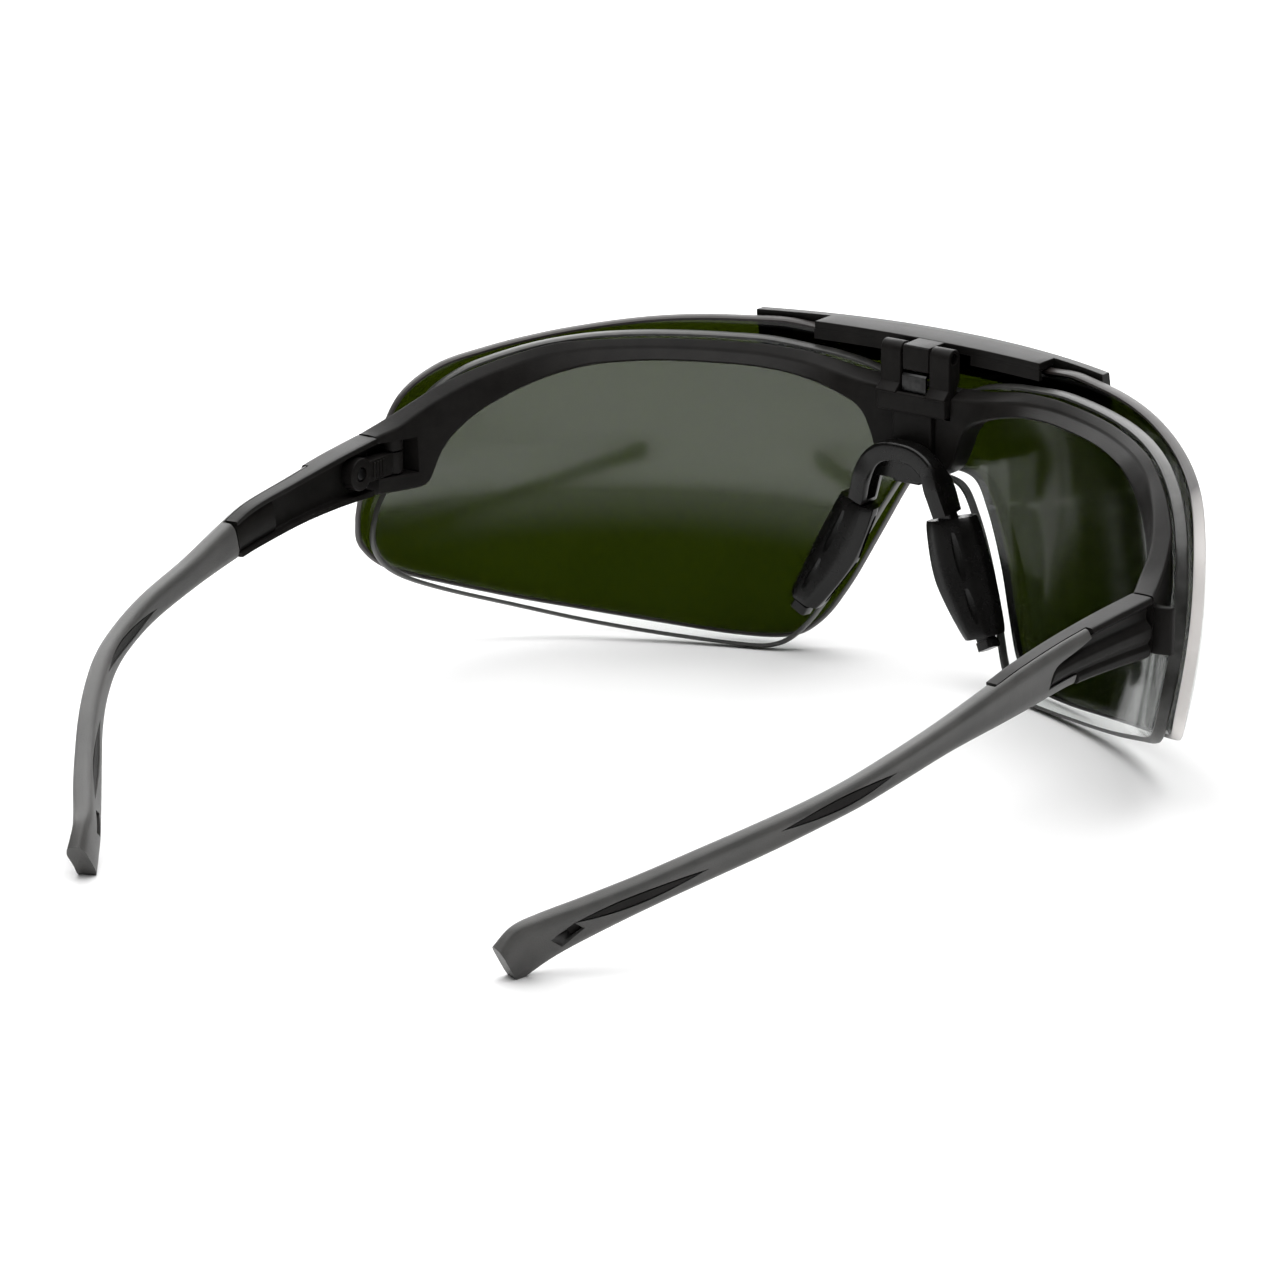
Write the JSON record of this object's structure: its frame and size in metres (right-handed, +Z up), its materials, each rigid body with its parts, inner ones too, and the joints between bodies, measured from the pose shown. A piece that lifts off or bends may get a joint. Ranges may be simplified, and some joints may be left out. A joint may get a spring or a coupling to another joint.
{
  "type": "flip-up safety spectacles",
  "caption": "Half-frame safety spectacles with a clear wrap lens, a dark shade lens that flips up on a bridge hinge, and folding, tilting temples.",
  "frame": {"origin": "the surface the spectacles lie on, below the middle of their bounding box", "axes": "+Z up, -Y towards the front of the lenses, +X towards the wearer's left"},
  "size_m": [0.1556, 0.1702, 0.0519],
  "materials": {
    "frame_black": "satin moulded nylon",
    "grip_grey": "matte soft-touch grip",
    "nose_rubber": "smooth soft rubber",
    "clear_lens": "clear polished polycarbonate",
    "shade_lens": "dark green polished polycarbonate",
    "steel": "plain drawn pin and leaf"
  },
  "bodies": {
    "frame": {"front_frame": "frame_black", "clear_lens": "clear_lens", "bridge_block": "frame_black", "detent_spring": "steel", "flip_pin": "steel", "nose_piece": "nose_rubber", "nose_pad_left": "nose_rubber", "nose_pad_right": "nose_rubber", "hinge_pin_left": "steel", "hinge_pin_right": "steel"},
    "flip_visor": {"lens_carrier": "frame_black", "shade_lens": "shade_lens"},
    "hinge_left": {"hinge_link_left": "frame_black", "tilt_pin_left": "steel"},
    "hinge_right": {"hinge_link_right": "frame_black", "tilt_pin_right": "steel"},
    "temple_left": {"temple_core_left": "frame_black", "temple_grip_left": "grip_grey"},
    "temple_right": {"temple_core_right": "frame_black", "temple_grip_right": "grip_grey"}
  },
  "joints": [
    {"name": "visor_flip", "type": "hinge", "parent": "frame", "child": "flip_visor", "pos_m": [0, -0.0742, 0.0504], "axis": [-1, 0, 0], "range_deg": [0, 95]},
    {"name": "fold_left", "type": "hinge", "parent": "frame", "child": "hinge_left", "pos_m": [0.07, -0.0322, 0.031], "axis": [0, 0, 1], "range_deg": [0, 80]},
    {"name": "fold_right", "type": "hinge", "parent": "frame", "child": "hinge_right", "pos_m": [-0.07, -0.0322, 0.031], "axis": [0, 0, -1], "range_deg": [0, 72]},
    {"name": "tilt_left", "type": "hinge", "parent": "hinge_left", "child": "temple_left", "pos_m": [0.0711, -0.0232, 0.031], "axis": [-1, 0, 0], "range_deg": [0, 8]},
    {"name": "tilt_right", "type": "hinge", "parent": "hinge_right", "child": "temple_right", "pos_m": [-0.0711, -0.0232, 0.031], "axis": [-1, 0, 0], "range_deg": [0, 8]}
  ]
}
